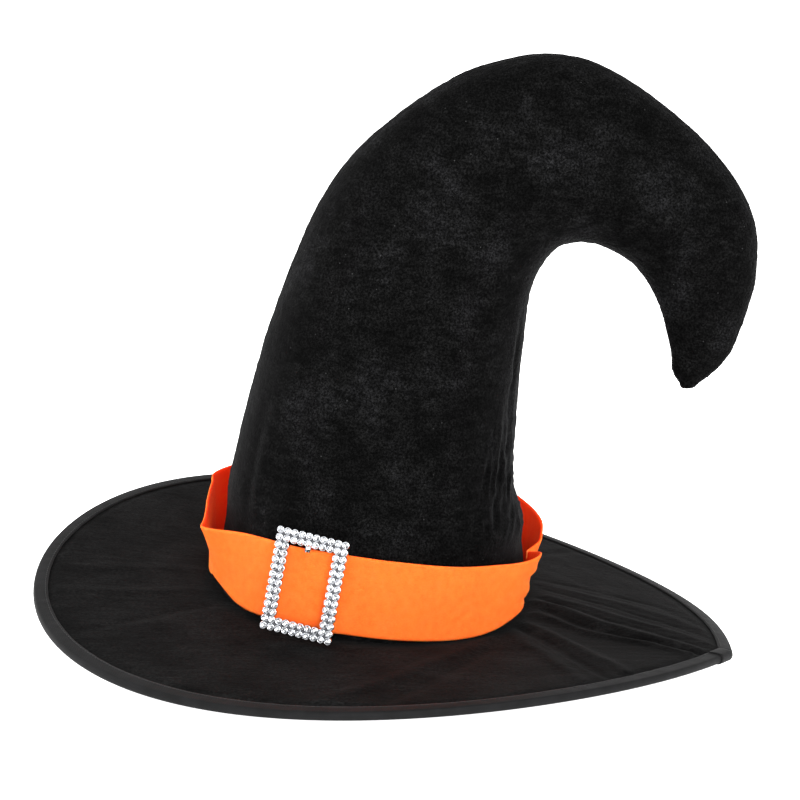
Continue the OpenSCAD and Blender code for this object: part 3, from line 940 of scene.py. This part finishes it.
low = polar(*FELT_STATIONS[:, [1, 0, 2]].T)
high = polar(*FELT_STATIONS[:, [4, 3, 5]].T)
ALONG_FELT = 520
UP_FELT = 34
edges = through(np.hstack([low, high]), ALONG_FELT)
up = np.linspace(0, 1, UP_FELT)[None, :, None]
# The felt leans out most near its upper edge
FLARE = 1.7
upright = edges[:, None, :3] * (1 - up) + edges[:, None, 3:] * up
leaning = edges[:, None, :3] * (1 - up**FLARE) + edges[:, None, 3:] * up**FLARE
felt_mid = np.concatenate([leaning[..., :2], upright[..., 2:]], -1)


def felt(name):
    """Pressed craft felt: fine matted fibres with a faint bloom, in a strong warm orange. The face
    turned to the crown is painted a redder, darker orange as shade and orange bounce light, and the
    outer one keeps the plain orange."""
    material, tree = new_material(name)
    fibres = add(tree, "TexNoise", {"Detail": 4.0, "Roughness": 0.7}, every=(1.6, 0.5, 0.5))
    mats = add(tree, "TexNoise", {"Detail": 4.0, "Roughness": 0.6}, every=5)
    # The plain orange of the outer faces, and a redder, darker orange painted on the faces turned to the
    # crown as shade and orange bounce light
    outer_face_orange = add(tree, "ValToRGB", links={"Fac": mats}, stops=[(0.30, "#f36320"), (0.70, "#fc6e2a")])
    painted_bounce_red = add(tree, "ValToRGB", links={"Fac": mats}, stops=[(0.30, "#ff3208"), (0.70, "#ff3c0c")])
    # How far the face is turned from the hat's upright axis, which picks the painted shade and bounce red
    # for faces turned to the crown
    spot = add(tree, "TexCoord")
    level = {0: spot.outputs["Object"]}
    level = add(tree, "VectorMath", {1: (1, 1, 0)}, level, operation="MULTIPLY")
    away = add(tree, "VectorMath", links={0: level}, operation="NORMALIZE")
    turned = {0: away, 1: spot.outputs["Normal"]}
    turned = add(tree, "VectorMath", links=turned, operation="DOT_PRODUCT").outputs["Value"]
    outer = add(tree, "MapRange", {"From Min": -0.3, "From Max": 0.3}, {"Value": turned})
    tone = add(tree, "Mix", links={0: outer, 6: painted_bounce_red, 7: outer_face_orange}, data_type="RGBA").outputs[2]
    shade = add(tree, "ValToRGB", links={"Fac": fibres}, stops=[(0.25, "#e8dcd8"), (0.72, "#ffffff")])
    colour = add(tree, "Mix", {0: 1.0}, {6: tone, 7: shade}, **MULTIPLIED).outputs[2]
    matted = add(tree, "Bump", {"Distance": 0.3 * MM}, {"Height": mats})
    normal = add(tree, "Bump", {"Distance": 0.25 * MM}, {"Height": fibres, "Normal": matted})
    surface(
        tree,
        {
            "Roughness": 0.95,
            "Specular IOR Level": 0.08,
            "Sheen Weight": 0.05,
            "Sheen Roughness": 0.5,
            "Sheen Tint": linear("#ff9a50"),
            "Subsurface Weight": 0.6,
            "Subsurface Radius": (1.0, 0.14, 0.04),
            "Subsurface Scale": 5 * MM,
        },
        {"Base Color": colour, "Normal": normal},
    )
    return material


def thick_sheet(name, middle, thick, material, fuzz):
    """A sheet of even thickness round a middle surface, with softened edges."""
    normal = outward(middle, closed=False)
    across = np.linspace(0, 1, middle.shape[1])
    width = np.linalg.norm(middle[:, -1] - middle[:, 0], axis=1).mean()
    rim = np.minimum(across, 1 - across) * width
    half = thick / 2 * (0.55 + 0.45 * np.sqrt(1 - np.clip(1 - rim / 0.9, 0, 1) ** 2))[None, :, None]
    rough = fuzz * cloud(middle, 1.7, 61)[..., None]
    face, back = middle + normal * (half + rough), middle - normal * (half - rough)
    return wall(name, face, back, material, round_columns=False)


ripple = 0.25 * cloud(felt_mid, 16, 62) + 0.3 * cloud(felt_mid, 34, 63)
# Pulled in at the tack, the felt buckles into short dents across its width
felt_az = np.degrees(np.arctan2(felt_mid[..., 1], felt_mid[..., 0])) % 360
buckled = ease(326, 334, felt_az) * (1 - ease(341, 346, felt_az))
felt_z = felt_mid[..., 2]
dents = np.sin((felt_z + 0.5 * (felt_az - 336)) * 0.42) + 0.6 * cloud(felt_mid, 6, 64)
dents = buckled * 0.9 * dents * ease(12, 20, felt_z) * (1 - ease(38, 46, felt_z))
ripple = np.clip(ripple, -0.2, 1) + dents
felt_mid = felt_mid + outward(felt_mid, closed=False) * ripple[..., None]
band = thick_sheet("felt_band", felt_mid, FELT_T, felt("craft_felt"), 0.08)
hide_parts("hat_band", "hat_band_lap")
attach(band, "hat")

TACK_AZ = 345.5
TACK_R = 99.9
TACK_L = 5.5
starts, ends = [], []
for z in (15, 29, 43):
    for slant in (-0.5, 0.5):
        starts.append(tuple(polar(TACK_R, TACK_AZ + slant, z - TACK_L / 2)))
        ends.append(tuple(polar(TACK_R, TACK_AZ - slant, z + TACK_L / 2)))
orange_thread = sewing_thread("orange_thread", "#f07a2c", "#c4501a")
tacks = thread_stitches("band_tack_stitches", starts, ends, 0.35, orange_thread)
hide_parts("band_tacks")
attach(tacks, "hat")


# ---- buckle ----
# A plated die casting: two rows of round cups run all round, so its outline is scalloped, and each
# cup holds a small foil-backed stone. A bar behind the felt lets it slide along the band.

STONE_PITCH = 4.6
STONES_ACROSS = 10
STONES_UP = 14
BUCKLE_AZ = -16
BUCKLE_SHIFT = -11
BUCKLE_LEAN = 6
FRAME_BACK = 103.0
BUCKLE_Z = 36.6
PLATE_T = 1.1
CUP_R = 2.36
CUP_IN = 1.72
CUP_TOP = 2.5

KICK = 8  # degrees that the frame's foot stands off the felt
SETTLED = -2.5  # degrees and millimetres that the frame has worked round on its bar
SLIPPED = 2.2
at_bar = (
    Matrix.Rotation(math.radians(BUCKLE_AZ), 4, "Z")
    @ Matrix.Translation((BUCKLE_SHIFT, -FRAME_BACK, BUCKLE_Z))
    @ Matrix.Rotation(math.radians(BUCKLE_LEAN), 4, "Y")
)
top_rail = Matrix.Translation((0, 0, STONES_UP * STONE_PITCH / 2))
stand_up = Matrix.Rotation(math.radians(90), 4, "X")
kicked = top_rail @ Matrix.Rotation(math.radians(-KICK), 4, "X") @ top_rail.inverted()
settled = Matrix.Translation((SLIPPED, 0, 0)) @ Matrix.Rotation(math.radians(SETTLED), 4, "Y")
at_buckle = at_bar @ settled @ kicked @ stand_up


def on_buckle(points):
    """Points given as right, up and out of the buckle's back plane, put in the hat's frame."""
    return np.array([at_buckle @ Vector(p) for p in points])


def row_places(ring):
    last_x = STONES_ACROSS - 1 - ring
    last_y = STONES_UP - 1 - ring
    for i in range(ring, last_x + 1):
        for j in range(ring, last_y + 1):
            if i in (ring, last_x) or j in (ring, last_y):
                x = (i + 0.5 - STONES_ACROSS / 2) * STONE_PITCH
                y = (j + 0.5 - STONES_UP / 2) * STONE_PITCH
                yield x, y


def plated(name):
    """Bright nickel plate on a die casting: mirror-like, with the casting's slight orange peel."""
    material, tree = new_material(name)
    peel = add(tree, "TexNoise", every=0.8)
    tarnish = add(tree, "TexNoise", {"Detail": 3.0}, every=7)
    tone = add(tree, "ValToRGB", links={"Fac": tarnish}, stops=[(0.3, "#b4b6ba"), (0.7, "#cccdd0")])
    normal = add(tree, "Bump", {"Distance": 0.03 * MM}, {"Height": peel})
    surface(tree, {"Metallic": 1.0, "Roughness": 0.18}, {"Base Color": tone, "Normal": normal})
    return material


def lathe_at(profile, sides, places, phase=0.0):
    """One turned form at each place: a profile of (radius, height) from its foot to its middle."""
    points, faces = [], []
    for x, y in places:
        first = len(points)
        for radius, height in profile:
            for k in range(sides):
                angle = 2 * math.pi * (k + phase) / sides
                points.append((x + radius * math.cos(angle), y + radius * math.sin(angle), height))
        faces += [*net(len(profile), sides, first)]
        faces.append(tuple(first + k for k in range(sides))[::-1])
        faces.append(tuple(first + (len(profile) - 1) * sides + k for k in range(sides)))
    return points, faces


BLOCK_FACES = [(0, 2, 3, 1), (4, 5, 7, 6), (0, 1, 5, 4), (2, 6, 7, 3), (0, 4, 6, 2), (1, 3, 7, 5)]


def block(x0, x1, y0, y1, z0, z1):
    """The corners of a small block, for BLOCK_FACES."""
    return [(x, y, z) for z in (z0, z1) for y in (y0, y1) for x in (x0, x1)]


def painted_shade_back_plate(name):
    """The casting's back plate, plated but not polished, in a dull dark grey that is painted
    shade in the gaps between the cups.
    """
    material, tree = new_material(name)
    sand = add(tree, "TexNoise", every=0.6)
    # This dark grey is painted shade between the cups, far darker than the nickel plate itself
    tone = add(tree, "ValToRGB", links={"Fac": sand}, stops=[(0.3, "#3c3d40"), (0.7, "#525357")])
    normal = add(tree, "Bump", {"Distance": 0.05 * MM}, {"Height": sand})
    surface(tree, {"Metallic": 0.8, "Roughness": 0.45}, {"Base Color": tone, "Normal": normal})
    return material


nickel = plated("nickel_plate")
places = [*row_places(0), *row_places(1)]
cup_profile = [
    (CUP_R - 0.35, 0.0),
    (CUP_R, 0.4),
    (CUP_R, 1.7),
    (CUP_R - 0.12, 2.2),
    (CUP_R - 0.34, CUP_TOP),
    (CUP_IN + 0.06, CUP_TOP - 0.1),
    (CUP_IN, CUP_TOP - 0.5),
    (CUP_IN - 0.1, 1.5),
]
points, faces = lathe_at(cup_profile, 24, places)
inner_h = (STONES_UP - 4) * STONE_PITCH / 2
faces += [tuple(len(points) + k for k in f) for f in BLOCK_FACES]
points += block(-1.6 - SLIPPED, 1.6 - SLIPPED, inner_h - 3.0, inner_h + 1.4, 0.3, 1.6)  # the lug
cups = build("buckle_cups", on_buckle(points), faces, nickel)
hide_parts("buckle_frame")
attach(cups, "buckle")

inner_w = (STONES_ACROSS - 4) * STONE_PITCH / 2
outer_w = STONES_ACROSS * STONE_PITCH / 2
outer_h = STONES_UP * STONE_PITCH / 2


def oblong(half_w, half_h, height):
    """The corners of a level oblong, anticlockwise."""
    return [(sx * half_w, sy * half_h, height) for sx, sy in ((-1, -1), (1, -1), (1, 1), (-1, 1))]


# The plate's edges are bevelled, as its inset and height show up the outside and down the inside
PLATE_EDGE = [(1.5, 0.0), (1.2, 0.3), (1.2, PLATE_T - 0.2), (1.5, PLATE_T)]
rail_points = []
for inset, height in PLATE_EDGE:
    rail_points += oblong(outer_w - inset, outer_h - inset, height)
for inset, height in reversed(PLATE_EDGE):
    rail_points += oblong(inner_w + inset, inner_h + inset, height)
strut = [stand_up @ Vector(p) for p in block(-1.2, 1.2, -31.4, -29.4, -0.6, KICK + 0.4)]
rail_points = [*on_buckle(rail_points), *(at_bar @ p for p in strut)]
rail_faces = [*net(8, 4, round_rows=True), *(np.array(BLOCK_FACES) + 8 * 4)]
plate = build("buckle_back_plate", rail_points, rail_faces, painted_shade_back_plate("unpolished_nickel_painted_shade"))
plate.data.shade_flat()
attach(plate, "buckle")


def foiled_stone(name):
    """Foil-backed acrylic: the silvered back shines through clear facets under a glassy skin. Its
    bright silver white is broken by a fine noise into painted glints and painted dark reflections."""
    material, tree = new_material(name)
    painted_facet_glint = add(tree, "TexNoise", {"Roughness": 0.7}, every=1.5)
    # The light and dark spots in the colour are painted glints and dark reflections of the facets
    tone = [(0.36, "#404246"), (0.46, "#c8cacd"), (0.55, "#fbfcfd")]
    tone = add(tree, "ValToRGB", links={"Fac": painted_facet_glint}, stops=tone)
    surface(
        tree,
        {"Metallic": 0.9, "Roughness": 0.1, "Coat Weight": 1.0, "Coat Roughness": 0.02, "Coat IOR": 1.49},
        {"Base Color": tone},
    )
    return material


acrylic = foiled_stone("foil_backed_acrylic")
stone_profile = [(1.68, 1.9), (1.68, 2.3), (1.05, 3.25), (0.62, 3.7)]
for ring, name in enumerate(("stones_outer_row", "stones_inner_row")):
    points, faces = lathe_at(stone_profile, 8, row_places(ring), 0.5 * ring)
    stones = build(name.replace("row", "cut"), on_buckle(points), faces, acrylic)
    stones.data.shade_flat()
    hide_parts(name)
    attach(stones, "buckle")

dress("buckle_bar", nickel)
softened = nodes["buckle_bar"].modifiers.new("softened", "BEVEL")
softened.width = 0.25 * MM
softened.segments = 2


# ---- floor and light ----
# The hat rests by the low places of its brim on a white sweep, in the soft light of a white tent
# with one large lamp above the front and a weaker one at the left.

FLOOR_DROP = 0.1
floor_z = cad_box[0][2] / MM - FLOOR_DROP
FLOOR_HALF = 6000
floor_material, tree = new_material("white_sweep")
paper = add(tree, "TexNoise", every=300)
white = add(tree, "ValToRGB", links={"Fac": paper}, stops=[(0.3, "#fafafa"), (0.7, "#ffffff")])
surface(
    tree,
    {"Roughness": 0.9, "Specular IOR Level": 0.1, "Emission Color": (1, 1, 1, 1), "Emission Strength": 0.85},
    {"Base Color": white},
)
floor = build("floor", oblong(FLOOR_HALF, FLOOR_HALF, floor_z), [(0, 1, 2, 3)], floor_material)

world = bpy.data.worlds.new("tent")
bpy.context.scene.world = world
world.use_nodes = True
world.node_tree.nodes.clear()
tent = add(world.node_tree, "Background", {"Color": (1, 1, 1, 1), "Strength": 1.4})
add(world.node_tree, "OutputWorld", links={"Surface": tent})

LAMPS = [
    ("key", (350, -1900, 750), 900, 56),
    ("edge", (-1700, 100, 900), 900, 24),
]
for name, spot, size, power in LAMPS:
    lamp_data = bpy.data.lights.new(name, "AREA")
    lamp_data.size = size * MM
    lamp_data.energy = power
    lamp = bpy.data.objects.new(name, lamp_data)
    bpy.context.scene.collection.objects.link(lamp)
    turn = (Vector(spot) - CAMERA_AIM).to_track_quat("Z", "Y").to_matrix().to_4x4()
    lamp.matrix_world = Matrix.Translation(Vector(spot) * MM) @ turn

bpy.context.scene.view_settings.view_transform = "Standard"
